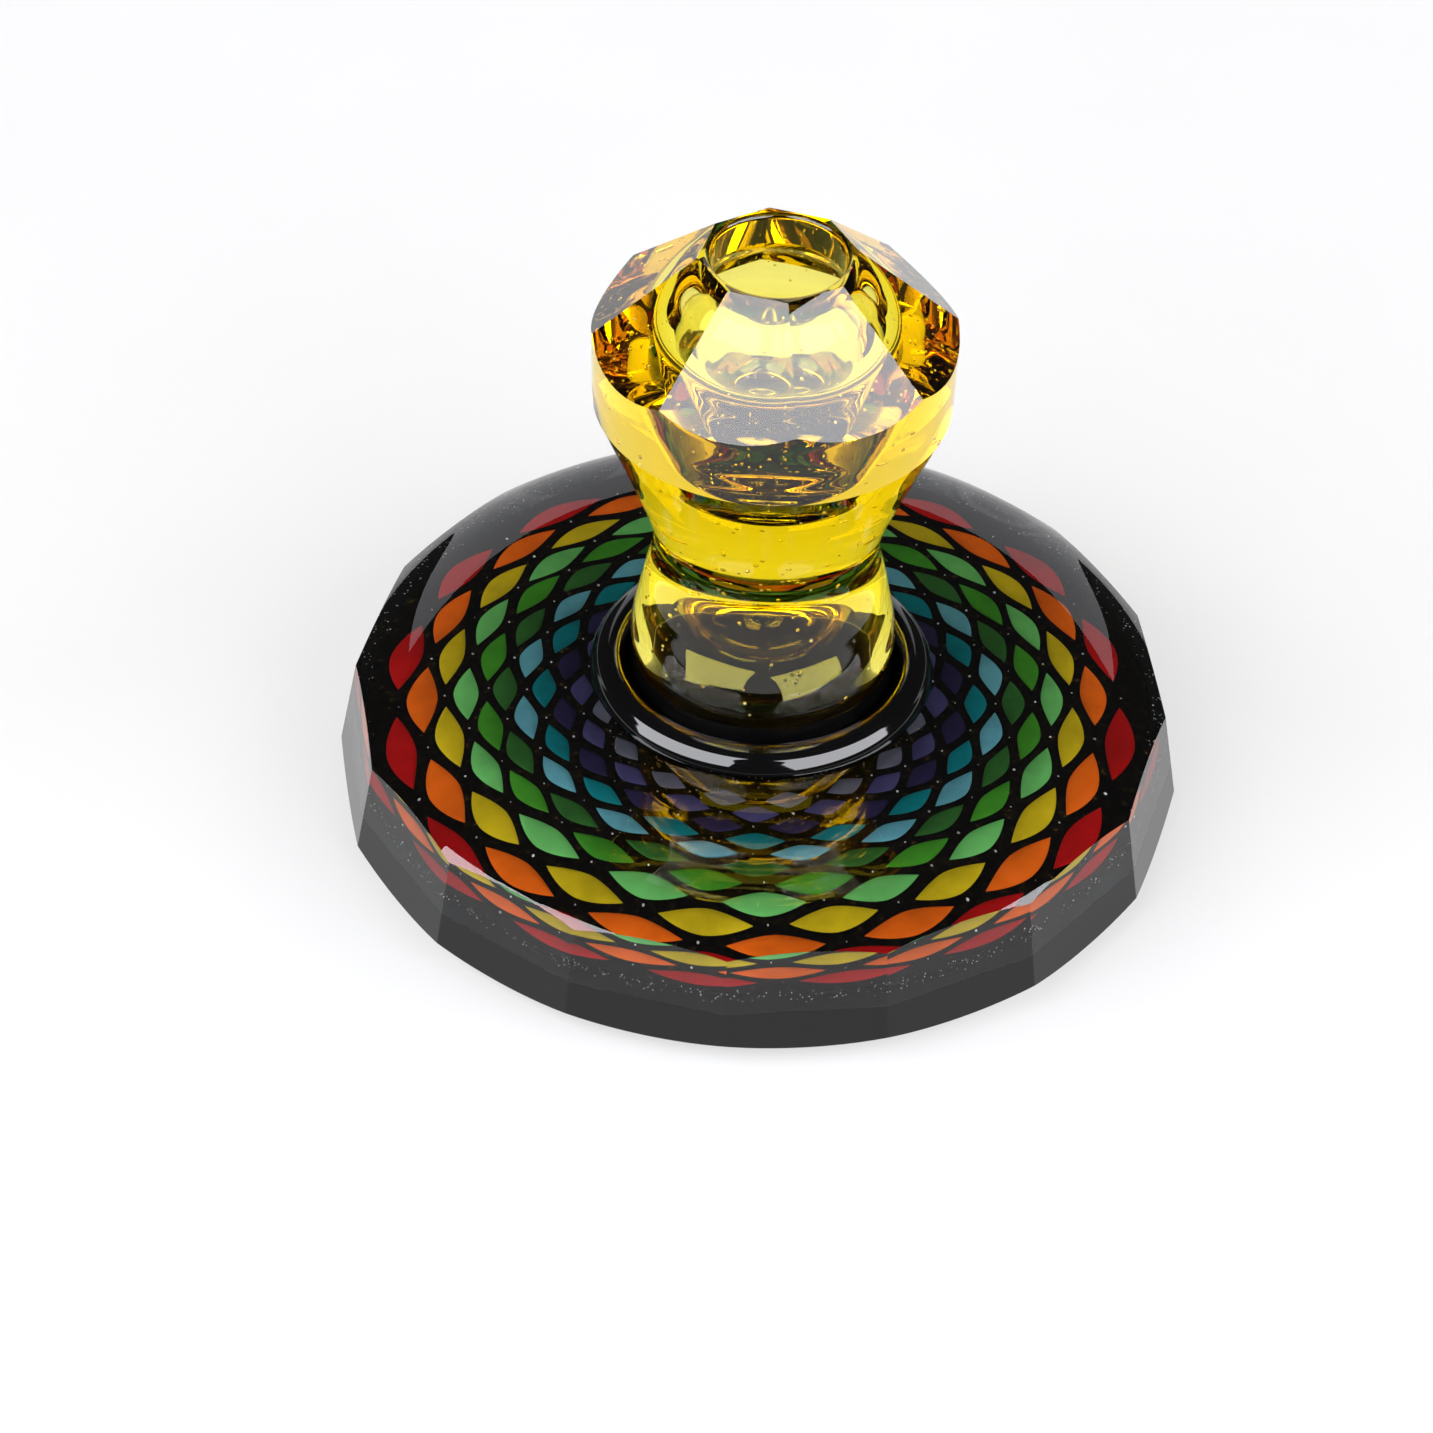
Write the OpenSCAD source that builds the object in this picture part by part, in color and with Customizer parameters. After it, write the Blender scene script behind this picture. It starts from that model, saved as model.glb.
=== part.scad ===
// Faceted art-glass cap: a rainbow lattice disc under a clear lens, with a hollow amber knob.
// +Z is up. The origin is the middle of the flat underside that the cap rests on.

/* [Disc] */
// Radius of the disc over the top corners of its edge facets
disc_r = 20; // [17:0.5:24]
// Extra radius of the edge facets at their bottom corners
facet_flare = 0.78; // [0.4:0.02:1.2]
// Height of an edge facet at its corners
facet_h = 4.7; // [4:0.1:6]
// Number of edge facets
edge_facets = 16; // [12:1:20]
// Rise of the rounded top above the facet corners
top_rise = 1.5; // [1:0.1:2]
// Depth of the rounded underside below the facet corners
bottom_drop = 1.6; // [1:0.1:2]
// Radius where the flat top starts to roll over the edge
top_flat_r = 13.8; // [13:0.1:15.5]
// Radius of the flat land that the cap rests on
land_r = 15; // [13:0.5:16]
// Thickness of clear glass at the facet corners
clear_edge_h = 2.7; // [2:0.1:2.9]

/* [Rainbow lattice] */
// Number of cells round each ring
cells_per_ring = 16; // [12:1:20]
// Radius of the outermost ring of cells, through the cells' middles
outer_ring_r = 17.3; // [17:0.1:18]
// Radius of the innermost ring of cells
inner_ring_r = 7.8; // [7.4:0.1:9]
// Thickness of the lattice and its cells
lattice_t = 0.6; // [0.4:0.1:1]
// Outer radius of the lattice
lattice_r = 18.4; // [18.2:0.1:19]
// Share of its room that a cell fills, the rest being black line
cell_fill = 0.6; // [0.5:0.05:0.85]
// How far the outer rings are twisted past the inner ones, in degrees
lattice_twist = 4; // [0:0.5:8]

/* [Collar] */
// Outer radius of the black collar
collar_r = 8.45; // [8:0.05:8.8]
// Height of the collar's rounded bead above the disc
bead_h = 1; // [0.95:0.01:1.1]
// Radius of the groove between the bead and the knob
groove_r = 6.45; // [6.4:0.05:6.6]
// Height of the groove above the disc
groove_h = 0.15; // [0.1:0.05:0.3]
// Height of the seat that the knob stands on, above the disc
seat_h = 1.2; // [0.8:0.1:1.6]
// Radius of the black core that rises from the collar into the foot
core_r = 4.85; // [4:0.05:5.2]
// Height of the core above the seat
core_h = 4.6; // [4.5:0.05:5.2]

/* [Knob] */
// Height of the knob above its seat
knob_h = 23.5; // [22:0.5:25]
// Radius of the knob's foot where it meets its seat
foot_r = 6.3; // [6:0.05:6.35]
// Largest radius of the foot
bulge_r = 6.45; // [6.4:0.05:6.7]
// Radius of the waist between the foot and the head
waist_r = 5.5; // [5:0.1:5.8]
// Largest radius of the head
head_r = 8.65; // [8.4:0.05:9]
// Number of facets round the crown
crown_facets = 8; // [6:1:10]
// Radius of the flat table on top, over its corners
table_r = 3.8; // [3.7:0.05:4.2]
// Radius of the hole in the table
hole_r = 3.2; // [3:0.05:3.3]
// Radius of the rounded lip of the hole
lip_r = 0.25; // [0.1:0.05:0.3]
// Radius of the chamber inside the head, at its widest
chamber_r = 4.85; // [4.2:0.05:5.2]

/* [Hidden] */
$fn = 96;

// Levels, from the underside up
corner_low_z = bottom_drop;
corner_high_z = corner_low_z + facet_h;
disc_top_z = corner_high_z + top_rise;
clear_z = corner_high_z - clear_edge_h;
seat_z = disc_top_z + seat_h;
neck_joint_z = seat_z + 7.5;
edge_z = seat_z + 15.4;
crown_low_z = seat_z + 19.4;
table_z = seat_z + knob_h;
hole_low_z = table_z - 1.6;

// Edge facets are cut by hand, so their corners drift from an even spacing
facet_turn = -2.5;
overcut = 60;
rim_steps = 14;
rim_power = 3.5;

// The crown's facets lean in from the head's girdle to the corners of the table
crown_turn = 8;
half_facet = 180 / crown_facets;
table_flat_r = table_r * cos(half_facet);
crown_tilt = atan((head_r * cos(half_facet) - table_flat_r) / (table_z - crown_low_z));

ring_count = 11;
ring_step = (outer_ring_r - inner_ring_r) / (ring_count - 1);
cell_points = 5;
ring_phase = 11.5;

function ring_r(i) = outer_ring_r - i * ring_step;

// 0 inside the middle ring, 1 at the outermost one
function ease(t) = t <= 0 ? 0 : t >= 1 ? 1 : t * t * (3 - 2 * t);
function twist_at(r) = lattice_twist * ease((r - 11) / (outer_ring_r - 11));

// Direction of the middle of cell k in ring i. Rings take turns to sit half a cell on.
function cell_angle(i, k) =
    ring_phase + twist_at(ring_r(i)) + 360 / cells_per_ring * (k + (i % 2) / 2);

// A cell is a leaf: two curved sides that meet in a point at each end
function leaf_power(i) = 1.75 - 0.35 * i / (ring_count - 1);
function leaf_half_w(i) = cell_fill * ring_step;
function leaf_half_turn(i) = 180 / cells_per_ring * (0.72 - 0.04 * i / (ring_count - 1));
function leaf_point(i, k, t, side) =
    let (r = ring_r(i) + side * leaf_half_w(i) * (1 - pow(abs(t), leaf_power(i))),
         a = cell_angle(i, k) + t * leaf_half_turn(i))
    [r * cos(a), r * sin(a)];
function leaf(i, k) = concat(
    [for (s = [0 : cell_points - 1]) leaf_point(i, k, -1 + 2 * s / cell_points, 1)],
    [for (s = [0 : cell_points - 1]) leaf_point(i, k, 1 - 2 * s / cell_points, -1)]);

// The rolled edges of the disc: flat to flat_r, then down to the corner and past it
function rolled(r, flat_r, corner_r, drop) =
    r <= flat_r ? 0 : drop * pow((r - flat_r) / (corner_r - flat_r), rim_power);
blank_r = disc_r + facet_flare + 0.6;
function rolled_edge(flat_r, corner_r, drop) =
    [for (s = [0 : rim_steps])
        let (r = flat_r + (blank_r - flat_r) * s / rim_steps)
        [r, rolled(r, flat_r, corner_r, drop)]];

// A smooth curve through a list of points, as [radius, height] pairs
function curve_point(a, b, c, d, t) =
    0.5 * ((2 * b) + (c - a) * t + (2 * a - 5 * b + 4 * c - d) * t * t
        + (3 * b - a - 3 * c + d) * t * t * t);
function curve(p, steps) = [for (i = [1 : len(p) - 3]) for (s = [0 : steps - 1])
    curve_point(p[i - 1], p[i], p[i + 1], p[i + 2], s / steps)];

// The knob's turned outline from its seat to the sharp edge under the head
stem_curve = [
    [foot_r - 0.4, seat_z - 0.6],
    [foot_r, seat_z],
    [bulge_r, seat_z + 1.6],
    [(bulge_r + waist_r) / 2, seat_z + 4.1],
    [waist_r, seat_z + 7.3],
    [waist_r + 1.2, seat_z + 11],
    [head_r - 0.1, edge_z],
    [head_r + 1.5, edge_z + 4]
];
curve_steps = 8;

// The girdle swells a little between the edge and the crown
girdle_swell = 0.1;
girdle_steps = 6;
function girdle(t) =
    [head_r - girdle_swell * pow(1 - t, 2), edge_z + t * (crown_low_z + 1 - edge_z)];

// The head's chamber: a bulb under the hole that narrows to a rounded bottom
chamber_curve = [
    [hole_r, table_z],
    [hole_r, hole_low_z],
    [chamber_r - 0.6, table_z - 3.1],
    [chamber_r, table_z - 4.9],
    [chamber_r - 0.7, table_z - 6.9],
    [chamber_r - 1.6, table_z - 9.1],
    [chamber_r - 2.55, table_z - 10.8],
    [0, table_z - 11.6],
    [2.55 - chamber_r, table_z - 10.8]
];
lip_steps = 6;
function lip_point(a) = [hole_r + lip_r * (1 - sin(a)), table_z - lip_r * (1 - cos(a))];

// The collar's bead, from the disc over its crest to the groove
collar_curve = [
    [collar_r + 0.05, disc_top_z - 0.35],
    [collar_r, disc_top_z],
    [collar_r - 0.11, disc_top_z + 0.29],
    [collar_r - 0.27, disc_top_z + 0.55],
    [collar_r - 0.47, disc_top_z + 0.78],
    [collar_r - 0.95, disc_top_z + bead_h],
    [collar_r - 1.35, disc_top_z + 0.95],
    [collar_r - 1.7, disc_top_z + 0.65],
    [groove_r, disc_top_z + groove_h],
    [groove_r - 0.15, disc_top_z - 0.2]
];

// The core's dome, from its foot up to its tip
core_curve = [
    [core_r + 0.05, seat_z - 0.5],
    [core_r, seat_z],
    [core_r - 0.25, seat_z + 1],
    [core_r - 0.7, seat_z + 2],
    [core_r - 1.45, seat_z + 2.95],
    [core_r - 2.45, seat_z + 3.8],
    [core_r - 3.65, seat_z + 4.4],
    [0, seat_z + core_h],
    [3.65 - core_r, seat_z + 4.4]
];
core_dome = concat(curve(core_curve, 4), [[0, seat_z + core_h]]);

module ring_cells(i) {
    translate([0, 0, clear_z - lattice_t])
        linear_extrude(lattice_t)
            for (k = [0 : cells_per_ring - 1])
                polygon(leaf(i, k));
}

// Everything outside the edge facets, which lean out towards the bottom
module edge_facet_cuts() {
    for (k = [0 : edge_facets - 1]) {
        a0 = corner_angle(k);
        a1 = corner_angle(k + 1);
        half = (a1 - a0) / 2;
        lean = atan(facet_flare * cos(half) / facet_h);
        rotate([0, 0, (a0 + a1) / 2])
            translate([disc_r * cos(half), 0, corner_high_z])
                rotate([0, -lean, 0])
                    translate([0, -overcut / 2, -overcut / 2])
                        cube(overcut);
    }
}
function corner_angle(k) =
    let (even = 360 / edge_facets * k)
    even + facet_turn + 0.8 * cos(even - 190) + cos(2 * even - 58);

// Everything outside the crown's facets
module crown_cuts() {
    for (k = [0 : crown_facets - 1])
        rotate([0, 0, crown_turn - 90 + half_facet + k * 360 / crown_facets])
            translate([table_flat_r, 0, table_z])
                rotate([0, -crown_tilt, 0])
                    translate([0, -overcut / 2, -overcut / 2])
                        cube(overcut);
}

module black_base() {
    color([0.03, 0.03, 0.035])
        difference() {
            rotate_extrude()
                polygon(concat(
                    [[0, 0]],
                    rolled_edge(land_r, disc_r + facet_flare, bottom_drop),
                    [[blank_r, clear_z], [0, clear_z]]));
            edge_facet_cuts();
            translate([0, 0, clear_z - lattice_t])
                cylinder(h = 2 * lattice_t, r = lattice_r);
        }
}

module black_lattice() {
    color([0.05, 0.045, 0.04])
        translate([0, 0, clear_z - lattice_t])
            linear_extrude(lattice_t)
                difference() {
                    circle(lattice_r);
                    for (i = [0 : ring_count - 1])
                        for (k = [0 : cells_per_ring - 1])
                            polygon(leaf(i, k));
                }
}

module cells_red() { color([0.72, 0.05, 0.06]) ring_cells(0); }
module cells_orange() { color([0.94, 0.4, 0.06]) ring_cells(1); }
module cells_yellow() { color([0.82, 0.72, 0.05]) ring_cells(2); }
module cells_light_green() { color([0.42, 0.75, 0.38]) ring_cells(3); }
module cells_green() { color([0.25, 0.55, 0.15]) ring_cells(4); }
module cells_dark_green() { color([0.18, 0.38, 0.16]) ring_cells(5); }
module cells_light_blue() { color([0.38, 0.67, 0.71]) ring_cells(6); }
module cells_teal() { color([0, 0.49, 0.5]) ring_cells(7); }
module cells_indigo() { color([0.16, 0.14, 0.27]) ring_cells(8); }
module cells_violet() { color([0.29, 0.28, 0.44]) ring_cells(9); }
module cells_grey() { color([0.42, 0.43, 0.49]) ring_cells(10); }

module clear_lens() {
    rolled_top = rolled_edge(top_flat_r, disc_r, top_rise);
    color([0.9, 0.95, 0.95, 0.35])
        difference() {
            rotate_extrude()
                polygon(concat(
                    [[0, clear_z], [0, disc_top_z]],
                    [for (p = rolled_top) [p[0], disc_top_z - p[1]]],
                    [[blank_r, clear_z]]));
            edge_facet_cuts();
        }
}

module black_collar() {
    color([0.03, 0.03, 0.035])
        rotate_extrude()
            polygon(concat(
                [[0, disc_top_z]],
                curve(collar_curve, 4),
                [[groove_r, disc_top_z + groove_h], [foot_r, seat_z]],
                core_dome));
}

// One half of the knob's solid outline, between two levels
module knob_outline(low_z, high_z) {
    intersection() {
        polygon(concat(
            [[0, seat_z]],
            curve(stem_curve, curve_steps),
            [for (s = [0 : girdle_steps]) girdle(s / girdle_steps)],
            [[head_r, table_z], [0, table_z]]));
        translate([0, low_z])
            square([2 * head_r, high_z - low_z]);
    }
}

module knob_foot() {
    color([0.85, 0.75, 0.05, 0.6])
        rotate_extrude()
            difference() {
                knob_outline(seat_z, neck_joint_z);
                polygon(concat(
                    [[0, seat_z - 1], [core_r, seat_z - 1]],
                    core_dome));
            }
}

module knob_head() {
    color([0.92, 0.82, 0.05, 0.6])
        difference() {
            rotate_extrude()
                difference() {
                    knob_outline(neck_joint_z, table_z);
                    polygon(concat(
                        [[0, table_z + 1], [hole_r + lip_r, table_z + 1]],
                        [for (s = [0 : lip_steps]) lip_point(90 * s / lip_steps)],
                        curve(chamber_curve, 5),
                        [[0, table_z - 11.6]]));
                }
            crown_cuts();
        }
}

black_base();
black_lattice();
cells_red();
cells_orange();
cells_yellow();
cells_light_green();
cells_green();
cells_dark_green();
cells_light_blue();
cells_teal();
cells_indigo();
cells_violet();
cells_grey();
clear_lens();
black_collar();
knob_foot();
knob_head();
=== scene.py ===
import math
import random

import bmesh
import bpy
from mathutils import Matrix, Quaternion, Vector


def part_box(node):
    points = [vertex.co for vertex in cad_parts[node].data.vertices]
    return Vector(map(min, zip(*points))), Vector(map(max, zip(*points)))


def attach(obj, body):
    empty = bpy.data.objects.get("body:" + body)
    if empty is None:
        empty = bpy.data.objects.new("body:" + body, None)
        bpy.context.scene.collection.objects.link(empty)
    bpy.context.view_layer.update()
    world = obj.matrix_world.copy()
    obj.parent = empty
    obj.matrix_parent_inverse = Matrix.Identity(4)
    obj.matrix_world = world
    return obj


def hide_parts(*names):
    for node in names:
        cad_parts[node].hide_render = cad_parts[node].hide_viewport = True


MM = 0.001
TAU = 2 * math.pi

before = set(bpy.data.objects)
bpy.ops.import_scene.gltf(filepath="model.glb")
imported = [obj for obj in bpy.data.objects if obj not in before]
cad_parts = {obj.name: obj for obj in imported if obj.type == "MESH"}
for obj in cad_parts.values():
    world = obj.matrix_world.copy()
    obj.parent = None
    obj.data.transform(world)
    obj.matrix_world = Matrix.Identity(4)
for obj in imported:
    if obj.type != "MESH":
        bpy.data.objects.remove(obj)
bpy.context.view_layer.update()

# ---------------------------------------------------------------- sizes, in mm
# The levels come from the CAD's boxes. The rest repeats the CAD's own shape parameters.
lens_low, lens_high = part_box("clear_lens")
foot_low, foot_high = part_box("knob_foot")
head_low, head_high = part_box("knob_head")

CLEAR_Z = lens_low.z / MM
TOP_Z = lens_high.z / MM
SEAT_Z = foot_low.z / MM
TABLE_Z = head_high.z / MM

# the disc
DISC_R = 20.0
FLARE = 0.78
TOP_RISE = 1.5
BOTTOM_DROP = 1.6
CORNER_HIGH = TOP_Z - TOP_RISE
FACET_H = CORNER_HIGH - BOTTOM_DROP
TOP_FLAT_R = 13.8
LAND_R = 15.0
RIM_POWER = 3.5
FACETS = 16
BLANK_R = DISC_R + FLARE + 0.6

# the collar and the core
COLLAR_R = 8.45
GROOVE_R = 6.45
GROOVE_H = 0.15
BEAD_H = 1.0
CORE_R = 4.85
CORE_H = 4.6
CORE_GAP = 0.04

# the knob
FOOT_R = 6.3
BULGE_R = 6.45
WAIST_R = 5.5
HEAD_R = 8.65
EDGE_Z = SEAT_Z + 15.4
CROWN_Z = SEAT_Z + 19.4
TABLE_R = 3.8
HOLE_R = 3.2
CROWN_FACETS = 8
CROWN_TURN = 8.0
LIP = 0.25
CHAMBER = [(3.2, 32.5), (3.2, 30.9), (4.25, 29.4), (4.85, 27.6), (4.15, 25.6),
           (3.25, 23.4), (2.3, 21.7), (0, 20.9)]

# the lattice
RINGS = 11
CELLS = 16
OUTER_RING_R = 17.3
INNER_RING_R = 7.8
LATTICE_R = 18.4
RING_STEP = (OUTER_RING_R - INNER_RING_R) / (RINGS - 1)
CELL_FILL = 0.6
TWIST = 4.0
RING_PHASE = 11.5
LATTICE_T = 0.8
TILT = 0.0173
TILT_TOWARDS = 60
LATTICE_LIFT = 0.1
CELL_LIFT = 0.02
CELL_SWELL = 0.1

# The seam between black and clear glass is lowered, so that the tilted lattice stays in the clear.
SEAM_Z = CLEAR_Z - 0.25

# Faces round a turned piece, and how far an opaque piece reaches into the glass beside it
TURN_STEPS = 192
EMBED = 0.06


# ---------------------------------------------------------------- shape helpers
def new_piece(name, bm, material, sharp=14):
    """Makes an object in metres from a bmesh in mm, smooth but for its sharp edges."""
    bmesh.ops.recalc_face_normals(bm, faces=bm.faces)
    bmesh.ops.scale(bm, vec=(MM, MM, MM), verts=bm.verts)
    mesh = bpy.data.meshes.new(name)
    bm.to_mesh(mesh)
    bm.free()
    mesh.shade_smooth()
    mesh.set_sharp_from_angle(angle=math.radians(sharp))
    mesh.materials.append(material)
    piece = bpy.data.objects.new(name, mesh)
    bpy.context.scene.collection.objects.link(piece)
    return piece


def finish_piece(piece, slot, *nodes):
    """Ties a piece to the part's only body and hides the CAD nodes that it stands for."""
    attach(piece, "root")
    if nodes:
        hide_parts(*nodes)


def lathe(profile, steps=TURN_STEPS):
    """Turns an outline of (radius, height) points round Z. Points on the axis become one vertex."""
    bm = bmesh.new()
    rings = []
    for r, z in profile:
        if r < 1e-6:
            rings.append([bm.verts.new((0, 0, z))])
        else:
            rings.append([
                bm.verts.new((r * math.cos(TAU * k / steps), r * math.sin(TAU * k / steps), z))
                for k in range(steps)
            ])
    for a, b in zip(rings, rings[1:]):
        for k in range(steps):
            n = (k + 1) % steps
            if len(a) == 1:
                bm.faces.new((a[0], b[k], b[n]))
            elif len(b) == 1:
                bm.faces.new((a[k], b[0], a[n]))
            else:
                bm.faces.new((a[k], b[k], b[n], a[n]))
    return bm


def cut_flat(bm, point, normal):
    """Removes what is outside a plane and closes the cut with one flat face."""
    geom = bm.verts[:] + bm.edges[:] + bm.faces[:]
    cut = bmesh.ops.bisect_plane(
        bm, geom=geom, dist=1e-5, plane_co=point, plane_no=normal, clear_outer=True)
    edges = [e for e in cut["geom_cut"] if isinstance(e, bmesh.types.BMEdge) and e.is_boundary]
    if edges:
        bmesh.ops.contextual_create(bm, geom=edges)


def smooth_curve(points, steps):
    """A smooth curve through (radius, height) points, leaving out the first and last."""
    out = []
    for a, b, c, d in zip(points, points[1:], points[2:], points[3:]):
        for s in range(steps):
            t = s / steps
            out.append(tuple(
                0.5 * (2 * q + (r - p) * t + (2 * p - 5 * q + 4 * r - u) * t * t
                       + (3 * q - p - 3 * r + u) * t ** 3)
                for p, q, r, u in zip(a, b, c, d)))
    return out


def rolled_edge(flat_r, corner_r, drop, steps=40):
    """The disc's rolled rim as (radius, drop) points."""
    out = []
    for s in range(steps + 1):
        r = flat_r + (BLANK_R - flat_r) * s / steps
        out.append((r, drop * ((r - flat_r) / (corner_r - flat_r)) ** RIM_POWER))
    return out


def corner_angle(k):
    """Direction of a corner between edge facets; they are cut by hand and drift a little."""
    even = 360 / FACETS * k
    drift = 0.8 * math.cos(math.radians(even - 190)) + math.cos(math.radians(2 * even - 58))
    return even - 2.5 + drift


def cut_edge_facets(bm, lean_below=None):
    """Cuts the sixteen edge facets. lean_below adds a second cut that leans in under that level."""
    for k in range(FACETS):
        a0, a1 = corner_angle(k), corner_angle(k + 1)
        half = math.radians((a1 - a0) / 2)
        turn = math.radians((a0 + a1) / 2)
        lean = math.atan(FLARE * math.cos(half) / FACET_H)
        flat_r = DISC_R * math.cos(half)
        out = Vector((math.cos(turn), math.sin(turn), 0))
        normal = out * math.cos(lean) + Vector((0, 0, math.sin(lean)))
        cut_flat(bm, out * flat_r + Vector((0, 0, CORNER_HIGH)), normal)
        if lean_below is not None:
            r = flat_r + (CORNER_HIGH - lean_below) * math.tan(lean)
            cut_flat(bm, out * r + Vector((0, 0, lean_below)), out - Vector((0, 0, 1)))


def ball_piece(name, balls, material, inside_out=False):
    """One piece of many small balls, each (centre, (rx, ry, rz)) in mm. Inside out, they are air."""
    bm = bmesh.new()
    bmesh.ops.create_icosphere(bm, subdivisions=2, radius=1)
    corners = [v.co.copy() for v in bm.verts]
    sides = [[v.index for v in f.verts] for f in bm.faces]
    bm.free()
    if inside_out:
        sides = [side[::-1] for side in sides]
    verts, faces = [], []
    for centre, radii in balls:
        first = len(verts)
        verts += [[(c + k * r) * MM for c, k, r in zip(centre, corner, radii)]
                  for corner in corners]
        faces += [[first + i for i in side] for side in sides]
    mesh = bpy.data.meshes.new(name)
    mesh.from_pydata(verts, [], faces)
    mesh.shade_smooth()
    mesh.materials.append(material)
    piece = bpy.data.objects.new(name, mesh)
    bpy.context.scene.collection.objects.link(piece)
    return piece


def radius_at(curve, z):
    """Radius of a smooth curve at a height."""
    for (r0, z0), (r1, z1) in zip(curve, curve[1:]):
        if min(z0, z1) <= z <= max(z0, z1) and z0 != z1:
            return r0 + (r1 - r0) * (z - z0) / (z1 - z0)
    return 0.0


# ---------------------------------------------------------------- materials
GLASS_IOR = 1.5
# Opaque cells and lines are fused into the clear glass, so they have next to no skin of their own.
FUSED_IOR = 1.05


def new_material(name):
    """A material with its node tree and its main shader."""
    material = bpy.data.materials.new(name)
    material.use_nodes = True
    nodes = material.node_tree.nodes
    return material, material.node_tree, nodes["Principled BSDF"]


def noise(tree, scale, detail=4.0, roughness=0.55):
    """Noise fixed to the object. The scale is in cycles per metre."""
    coords = tree.nodes.new("ShaderNodeTexCoord")
    texture = tree.nodes.new("ShaderNodeTexNoise")
    texture.inputs["Scale"].default_value = scale
    texture.inputs["Detail"].default_value = detail
    texture.inputs["Roughness"].default_value = roughness
    tree.links.new(coords.outputs["Object"], texture.inputs["Vector"])
    return texture.outputs["Fac"]


def ramp(tree, value, stops):
    """Turns a value into a colour by (position, colour) stops."""
    node = tree.nodes.new("ShaderNodeValToRGB")
    elements = node.color_ramp.elements
    while len(elements) < len(stops):
        elements.new(0.5)
    for element, (position, color) in zip(elements, stops):
        element.position = position
        element.color = (*color, 1)
    tree.links.new(value, node.inputs["Fac"])
    return node.outputs["Color"]


def add_bump(tree, shader, height, strength, distance):
    """Fine relief on a shader. The distance is in metres."""
    bump = tree.nodes.new("ShaderNodeBump")
    bump.inputs["Strength"].default_value = strength
    bump.inputs["Distance"].default_value = distance
    tree.links.new(height, bump.inputs["Height"])
    tree.links.new(bump.outputs["Normal"], shader.inputs["Normal"])


def black_glass(name, ior):
    """Opaque black glass: fine dust and polishing haze over a mirror-smooth skin."""
    material, tree, shader = new_material(name)
    dust = noise(tree, 9000, 2.0, 0.7)
    color = ramp(tree, dust, [(0.0, (0.0008,) * 3), (0.64, (0.0012, 0.0012, 0.0014)),
                              (0.74, (0.006, 0.006, 0.0055))])
    tree.links.new(color, shader.inputs["Base Color"])
    haze = ramp(tree, noise(tree, 260), [(0.35, (0.03,) * 3), (0.75, (0.09,) * 3)])
    tree.links.new(haze, shader.inputs["Roughness"])
    shader.inputs["IOR"].default_value = ior
    add_bump(tree, shader, noise(tree, 140, 2.0), 0.05, 0.00004)
    return material


def line_glass(name):
    """Black line work inside the disc, with faint brown specks of fume in it."""
    material, tree, shader = new_material(name)
    color = ramp(tree, noise(tree, 2600, 3.0, 0.5), [(0.5, (0.0012, 0.001, 0.0008)),
                                                     (0.66, (0.005, 0.0035, 0.0014)),
                                                     (0.78, (0.05, 0.028, 0.006))])
    tree.links.new(color, shader.inputs["Base Color"])
    shader.inputs["Roughness"].default_value = 0.5
    shader.inputs["IOR"].default_value = FUSED_IOR
    return material


def cell_glass(name, color):
    """Opaque coloured cane glass, a little cloudy."""
    material, tree, shader = new_material(name)
    deep = tuple(c * 0.72 for c in color)
    bright = tuple(min(1.0, c * 1.12 + 0.004) for c in color)
    tree.links.new(ramp(tree, noise(tree, 420, 3.0), [(0.3, deep), (0.62, color), (0.85, bright)]),
                   shader.inputs["Base Color"])
    shader.inputs["Roughness"].default_value = 0.6
    shader.inputs["IOR"].default_value = FUSED_IOR
    return material


def see_through(name, roughness=0.0):
    """The parts that all transparent glass shares."""
    material, tree, shader = new_material(name)
    shader.inputs["Base Color"].default_value = (1.0, 1.0, 1.0, 1)
    shader.inputs["Roughness"].default_value = roughness
    shader.inputs["IOR"].default_value = GLASS_IOR
    shader.inputs["Transmission Weight"].default_value = 1.0
    return material, tree, shader


def clear_glass(name):
    """Clear polished glass with a faint waviness from the flame."""
    material, tree, shader = see_through(name)
    add_bump(tree, shader, noise(tree, 130, 1.0), 0.05, 0.00005)
    return material


def amber_glass(name):
    """Amber glass: the colour comes from its depth, and its skin is a little wavy."""
    material, tree, shader = see_through(name)
    add_bump(tree, shader, noise(tree, 150, 1.5), 0.08, 0.00006)
    depth = tree.nodes.new("ShaderNodeVolumeAbsorption")
    depth.inputs["Color"].default_value = (0.985, 0.93, 0.03, 1)
    depth.inputs["Density"].default_value = 420
    tree.links.new(depth.outputs["Volume"], tree.nodes["Material Output"].inputs["Volume"])
    return material


def bubble_glass(name):
    """The skin of an air bubble, seen from inside the glass."""
    material, tree, shader = see_through(name, roughness=0.02)
    add_bump(tree, shader, noise(tree, 4000, 1.0), 0.1, 0.00001)
    return material


def glint(name, color):
    """Micro-bubbles too small to see through: they only sparkle."""
    material, tree, shader = new_material(name)
    dim = tuple(c * 0.35 for c in color)
    tree.links.new(ramp(tree, noise(tree, 2500, 1.0), [(0.42, dim), (0.6, color)]),
                   shader.inputs["Base Color"])
    shader.inputs["Metallic"].default_value = 0.6
    shader.inputs["Roughness"].default_value = 0.3
    return material


BLACK = black_glass("black_glass", 1.52)
BASE_BLACK = black_glass("black_base_glass", 1.42)
LINES = line_glass("line_glass")
CLEAR = clear_glass("clear_glass")
AMBER = amber_glass("amber_glass")
BUBBLE = bubble_glass("bubble_skin")
SPARKLE = glint("micro_bubbles", (0.55, 0.57, 0.58))
FUME = glint("fume", (0.3, 0.17, 0.05))
GOLD = glint("gold_seeds", (0.98, 0.85, 0.4))

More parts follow.
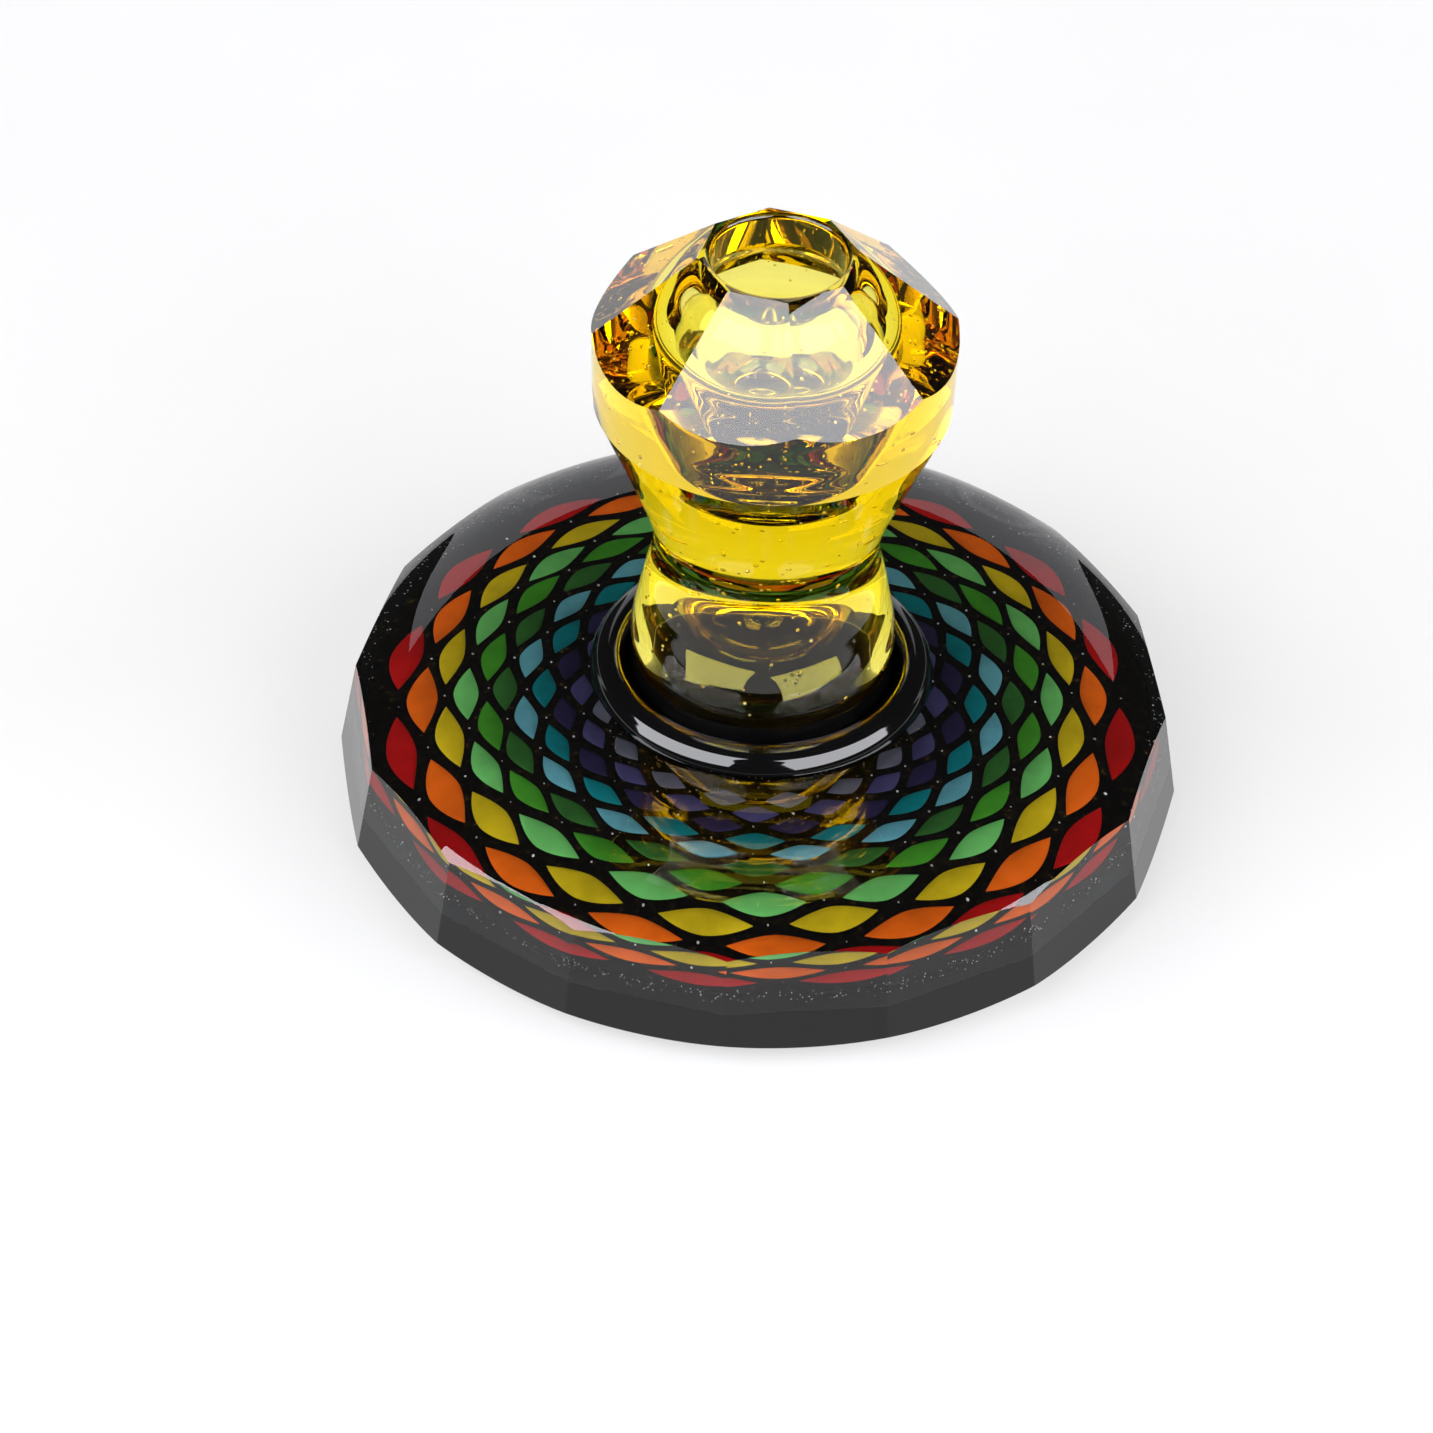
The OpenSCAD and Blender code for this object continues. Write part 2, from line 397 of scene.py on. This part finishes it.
# ---------------------------------------------------------------- the disc
bm = lathe([(0, 0)] + [(r, z) for r, z in rolled_edge(LAND_R, DISC_R + FLARE, BOTTOM_DROP)]
           + [(BLANK_R, SEAM_Z), (0, SEAM_Z)])
cut_edge_facets(bm)
finish_piece(new_piece("base", bm, BASE_BLACK), "black_glass", "black_base")

bm = lathe([(0, SEAM_Z - EMBED), (BLANK_R, SEAM_Z - EMBED)]
           + [(r, TOP_Z - drop) for r, drop in reversed(rolled_edge(TOP_FLAT_R, DISC_R, TOP_RISE))]
           + [(0, TOP_Z)])
cut_edge_facets(bm, lean_below=SEAM_Z)
finish_piece(new_piece("lens", bm, CLEAR), "clear_glass", "clear_lens")


# ---------------------------------------------------------------- the lattice
def lattice_z(x, y):
    """The lattice isn't quite level in the disc: it rises a little towards the back right."""
    a = math.radians(TILT_TOWARDS)
    return CLEAR_Z + LATTICE_LIFT + TILT * (x * math.cos(a) + y * math.sin(a))


def ring_radius(i):
    """Radius of a ring of cells. Ring 0 is the outermost."""
    return OUTER_RING_R - i * RING_STEP


def ease(t):
    """A smooth step from 0 to 1."""
    t = min(1.0, max(0.0, t))
    return t * t * (3 - 2 * t)


def cell_angle(i, k):
    """Direction of a cell in degrees. The outer rings are twisted past the inner ones."""
    twist = TWIST * ease((ring_radius(i) - 11) / (OUTER_RING_R - 11))
    return RING_PHASE + twist + 360 / CELLS * (k + (i % 2) / 2)


def cell_half_turn(i):
    """Half a cell's length, in degrees round the disc."""
    return 180 / CELLS * (0.72 - 0.04 * i / (RINGS - 1))


def cell_half_width(i, t):
    """Half a cell's width at t, which runs from -1 to 1 along it."""
    power = 1.75 - 0.35 * i / (RINGS - 1)
    return CELL_FILL * RING_STEP * (1 - abs(t) ** power)


def add_cell(bm, i, k, rng):
    """A leaf-shaped cell: a grid from point to point that swells up into the clear glass."""
    along, across = 14, 6
    turn = cell_half_turn(i) * (1 + rng.uniform(-0.04, 0.04))
    wide = 1 + rng.uniform(-0.06, 0.06)
    shift = rng.uniform(-0.25, 0.25)
    radius = ring_radius(i) + rng.uniform(-0.05, 0.05)
    rows = []
    for s in range(along + 1):
        t = -1 + 2 * s / along
        half = cell_half_width(i, t) * wide
        a = math.radians(cell_angle(i, k) + shift + t * turn)
        row = []
        for c in range(across + 1):
            u = -1 + 2 * c / across
            r = radius + u * half
            x, y = r * math.cos(a), r * math.sin(a)
            swell = CELL_SWELL * math.sqrt(max(0.0, 1 - u * u)) * (1 - t * t)
            row.append(bm.verts.new((x, y, lattice_z(x, y) + CELL_LIFT + swell)))
        rows.append(row)
    for p, q in zip(rows, rows[1:]):
        for c in range(across):
            bm.faces.new((p[c], p[c + 1], q[c + 1], q[c]))


# from the outermost ring inwards
CELL_COLORS = {
    "red": (0.223, 0.003, 0.003),
    "orange": (0.378, 0.063, 0.003),
    "yellow": (0.273, 0.202, 0.004),
    "light_green": (0.063, 0.223, 0.055),
    "green": (0.023, 0.118, 0.008),
    "dark_green": (0.013, 0.055, 0.010),
    "light_blue": (0.055, 0.176, 0.206),
    "teal": (0.001, 0.088, 0.097),
    "indigo": (0.010, 0.008, 0.027),
    "violet": (0.032, 0.029, 0.076),
    "grey": (0.067, 0.069, 0.088),
}

rng = random.Random(7)
for i, (name, color) in enumerate(CELL_COLORS.items()):
    bm = bmesh.new()
    for k in range(CELLS):
        add_cell(bm, i, k, rng)
    bmesh.ops.remove_doubles(bm, verts=bm.verts, dist=1e-5)
    piece = new_piece("cells_" + name + "_glass", bm, cell_glass("cell_" + name, color), sharp=60)
    finish_piece(piece, "cell_" + name, "cells_" + name)

bm = lathe([(0, -LATTICE_T), (LATTICE_R, -LATTICE_T), (LATTICE_R, 0.01), (0, 0.01)])
for v in bm.verts:
    v.co.z += lattice_z(v.co.x, v.co.y)
finish_piece(new_piece("lattice", bm, LINES), "lattice_line", "black_lattice")


def lattice_ball(a, r, size, lift):
    """A small ball that floats over the lattice."""
    x, y = r * math.cos(a), r * math.sin(a)
    return (x, y, lattice_z(x, y) + lift), (size, size, size)


# a tiny bubble is trapped at each crossing of the black lines
balls = [
    lattice_ball(math.radians(cell_angle(i, k) + 180 / CELLS + rng.uniform(-0.9, 0.9)),
                 ring_radius(i) + rng.uniform(-0.12, 0.12),
                 rng.triangular(0.015, 0.08, 0.04), 0.08)
    for i in range(RINGS) for k in range(CELLS)
]
finish_piece(ball_piece("crossing_bubbles", balls, SPARKLE), "clear_glass")

# a band of fine sparkle where the lattice ends, just above the black
balls = [
    lattice_ball(rng.uniform(0, TAU), rng.triangular(18.2, 19.6, 18.9),
                 rng.uniform(0.012, 0.035), rng.uniform(0.02, 0.2))
    for _ in range(900)
]
finish_piece(ball_piece("rim_bubbles", balls, SPARKLE), "clear_glass")

# brown specks of fume lie round the collar
balls = [
    lattice_ball(rng.uniform(0, TAU), rng.triangular(5.2, 8.6, 6.9),
                 rng.triangular(0.012, 0.05, 0.02), 0.04)
    for _ in range(420)
]
finish_piece(ball_piece("fume_specks", balls, FUME), "clear_glass")

# ---------------------------------------------------------------- the collar
bead = smooth_curve([
    (COLLAR_R + 0.05, TOP_Z - 0.35),
    (COLLAR_R, TOP_Z),
    (COLLAR_R - 0.11, TOP_Z + 0.29),
    (COLLAR_R - 0.27, TOP_Z + 0.55),
    (COLLAR_R - 0.47, TOP_Z + 0.78),
    (COLLAR_R - 0.95, TOP_Z + BEAD_H),
    (COLLAR_R - 1.35, TOP_Z + 0.95),
    (COLLAR_R - 1.7, TOP_Z + 0.65),
    (GROOVE_R, TOP_Z + GROOVE_H),
    (GROOVE_R - 0.15, TOP_Z - 0.2),
], 10)
profile = ([(0, TOP_Z - EMBED), (COLLAR_R - 0.05, TOP_Z - EMBED)] + bead
           + [(GROOVE_R, TOP_Z + GROOVE_H), (FOOT_R, SEAT_Z), (0, SEAT_Z)])
finish_piece(new_piece("collar", lathe(profile), BLACK, sharp=40), "black_glass", "black_collar")


def core_dome(gap):
    """The outline of the core in the knob's foot, from its rim to its tip, less a gap all round."""
    points = smooth_curve([
        (CORE_R + 0.05, SEAT_Z - 0.5),
        (CORE_R, SEAT_Z),
        (CORE_R - 0.25, SEAT_Z + 1),
        (CORE_R - 0.7, SEAT_Z + 2),
        (CORE_R - 1.45, SEAT_Z + 2.95),
        (CORE_R - 2.45, SEAT_Z + 3.8),
        (CORE_R - 3.65, SEAT_Z + 4.4),
        (0, SEAT_Z + CORE_H),
        (3.65 - CORE_R, SEAT_Z + 4.4),
    ], 10)
    return [(max(0.0, r - gap), z - gap) for r, z in points] + [(0, SEAT_Z + CORE_H - gap)]


# The core stands in a thin film of air. Its plate stays just inside the seat and closes the film.
core_plate_r, core_plate_z = FOOT_R - 0.03, SEAT_Z + 0.004
profile = ([(0, SEAT_Z - 0.3), (core_plate_r, SEAT_Z - 0.3), (core_plate_r, core_plate_z),
            (CORE_R, core_plate_z)] + core_dome(CORE_GAP)[1:])
finish_piece(new_piece("core", lathe(profile), LINES, sharp=40), "black_glass")

# ---------------------------------------------------------------- the knob
stem = smooth_curve([
    (FOOT_R - 0.4, SEAT_Z - 0.6),
    (FOOT_R, SEAT_Z),
    (BULGE_R, SEAT_Z + 1.6),
    ((BULGE_R + WAIST_R) / 2, SEAT_Z + 4.1),
    (WAIST_R, SEAT_Z + 7.3),
    (WAIST_R + 1.2, SEAT_Z + 11),
    (HEAD_R - 0.1, EDGE_Z),
    (HEAD_R + 1.5, EDGE_Z + 4),
], 16)
girdle = [(HEAD_R - 0.1 * (1 - s / 12) ** 2, EDGE_Z + s / 12 * (CROWN_Z + 1 - EDGE_Z))
          for s in range(13)]
bell = core_dome(0)[::-1]
last_r, last_z = CHAMBER[-2]
chamber = smooth_curve(CHAMBER + [(-last_r, last_z)], 14) + [CHAMBER[-1]]
lip = [(HOLE_R + LIP * (1 - math.sin(math.pi / 2 * s / 10)),
        TABLE_Z - LIP * (1 - math.cos(math.pi / 2 * s / 10))) for s in range(11)]
profile = (bell + [(CORE_R, SEAT_Z - EMBED), (FOOT_R - 0.05, SEAT_Z - EMBED)] + stem + girdle
           + [(HEAD_R, TABLE_Z)] + lip + chamber)
bm = lathe(profile)
half_facet = math.pi / CROWN_FACETS
table_flat_r = TABLE_R * math.cos(half_facet)
slope = math.atan((HEAD_R * math.cos(half_facet) - table_flat_r) / (TABLE_Z - CROWN_Z))
for k in range(CROWN_FACETS):
    a = math.radians(CROWN_TURN - 90) + half_facet + TAU * k / CROWN_FACETS
    out = Vector((math.cos(a), math.sin(a), 0))
    normal = out * math.cos(slope) + Vector((0, 0, math.sin(slope)))
    cut_flat(bm, out * table_flat_r + Vector((0, 0, TABLE_Z)), normal)
finish_piece(new_piece("knob", bm, AMBER), "amber_glass", "knob_foot", "knob_head")


def spread_in_amber(count, smallest, largest, usual):
    """Small round spots scattered through the walls of the knob."""
    balls = []
    for _ in range(count):
        z = rng.uniform(SEAT_Z + 0.4, TABLE_Z - 2.5)
        outer = radius_at(stem + girdle, z)
        if z > CROWN_Z:
            outer = HEAD_R * math.cos(half_facet) - (z - CROWN_Z) * math.tan(slope)
        inner = max(radius_at(bell, z), radius_at(chamber, z))
        r = inner + 0.25 + (outer - inner - 0.5) * math.sqrt(rng.random())
        a = rng.uniform(0, TAU)
        size = rng.triangular(smallest, largest, usual)
        radii = size, size, size * rng.uniform(0.8, 1.3)
        balls.append(((r * math.cos(a), r * math.sin(a), z), radii))
    return balls


# seeds: air bubbles all through the amber, the smallest of them mere gold glints
piece = ball_piece("amber_seeds", spread_in_amber(150, 0.05, 0.16, 0.07), BUBBLE, inside_out=True)
finish_piece(piece, "amber_glass")
piece = ball_piece("gold_seeds", spread_in_amber(130, 0.04, 0.12, 0.065), GOLD)
finish_piece(piece, "amber_glass")

# ---------------------------------------------------------------- the stage
# A pale paper floor, a dark studio with two lamps and a backdrop panel
floor_mesh = bpy.data.meshes.new("floor")
bm = bmesh.new()
bmesh.ops.create_circle(bm, cap_ends=True, radius=4.0, segments=64)
bm.to_mesh(floor_mesh)
bm.free()
floor_material, tree, shader = new_material("floor_paper")
tree.links.new(ramp(tree, noise(tree, 40), [(0.3, (0.2,) * 3), (0.7, (0.21,) * 3)]),
               shader.inputs["Base Color"])
shader.inputs["Roughness"].default_value = 0.9
shader.inputs["Emission Color"].default_value = (1.0, 0.992, 0.975, 1)
# the lamps hardly reach the far floor, so it glows more there and meets the pale world evenly
coords = tree.nodes.new("ShaderNodeTexCoord")
reach = tree.nodes.new("ShaderNodeVectorMath")
reach.operation = "LENGTH"
glow = tree.nodes.new("ShaderNodeMapRange")
glow.inputs["From Min"].default_value = 0.35
glow.inputs["From Max"].default_value = 1.6
glow.inputs["To Min"].default_value = 0.52
glow.inputs["To Max"].default_value = 0.93
tree.links.new(coords.outputs["Object"], reach.inputs[0])
tree.links.new(reach.outputs["Value"], glow.inputs["Value"])
tree.links.new(glow.outputs["Result"], shader.inputs["Emission Strength"])
floor_mesh.materials.append(floor_material)
floor = bpy.data.objects.new("floor", floor_mesh)
bpy.context.scene.collection.objects.link(floor)


LAMP_COLOR = (0.94, 0.95, 1.0)


def softbox(name, azimuth, elevation, distance, width, height, radiance, roll=0):
    """A large soft lamp that faces the object. Azimuth 0 is the front, where the camera is."""
    lamp = bpy.data.lights.new(name, "AREA")
    lamp.shape = "RECTANGLE"
    lamp.size, lamp.size_y = width, height
    lamp.energy = radiance * math.pi * width * height
    lamp.color = LAMP_COLOR
    a, e = math.radians(azimuth), math.radians(elevation)
    back = Vector((math.sin(a) * math.cos(e), -math.cos(a) * math.cos(e), math.sin(e)))
    thing = bpy.data.objects.new(name, lamp)
    thing.location = back * distance
    thing.rotation_mode = "QUATERNION"
    thing.rotation_quaternion = (back.to_track_quat("Z", "Y")
                                 @ Quaternion((0, 0, 1), math.radians(roll)))
    bpy.context.scene.collection.objects.link(thing)


softbox("softbox_left", -52, 35, 0.9, 1.1, 0.76, 9.5, roll=12)
softbox("softbox_right", 54, 30.5, 0.9, 1.14, 0.64, 9.5)
softbox("backdrop", 180, 18, 1.2, 0.86, 0.8, 1.05)

# A dark studio, but pale where the camera sees it directly
world = bpy.data.worlds.new("studio")
bpy.context.scene.world = world
world.use_nodes = True
tree = world.node_tree
path = tree.nodes.new("ShaderNodeLightPath")
shade = ramp(tree, path.outputs["Is Camera Ray"], [(0.0, (0.04,) * 3), (1.0, (0.95,) * 3)])
tree.links.new(shade, tree.nodes["Background"].inputs["Color"])

# ---------------------------------------------------------------- the camera
elevation, roll, distance = math.radians(40.0), math.radians(2.45), 0.280
back = Vector((0, -math.cos(elevation), math.sin(elevation)))
side = Vector((1, 0, 0))
up = back.cross(side)
right = side * math.cos(roll) + up * math.sin(roll)
above = up * math.cos(roll) - side * math.sin(roll)
camera_data = bpy.data.cameras.new("camera")
camera = bpy.data.objects.new("camera", camera_data)
place = Matrix((right, above, back)).transposed().to_4x4()
place.translation = Vector((0, 0, CORNER_HIGH * MM)) + back * distance
camera.matrix_world = place
camera_data.sensor_width = 36
camera_data.lens = 142.7
camera_data.shift_x = -0.0306
camera_data.shift_y = -0.0201
camera_data.clip_start = 0.01
camera_data.clip_end = 20
bpy.context.scene.collection.objects.link(camera)
bpy.context.scene.camera = camera

scene = bpy.context.scene
scene.view_settings.view_transform = "Standard"
scene.cycles.max_bounces = 24
scene.cycles.transmission_bounces = 24
scene.cycles.glossy_bounces = 8
scene.cycles.diffuse_bounces = 4
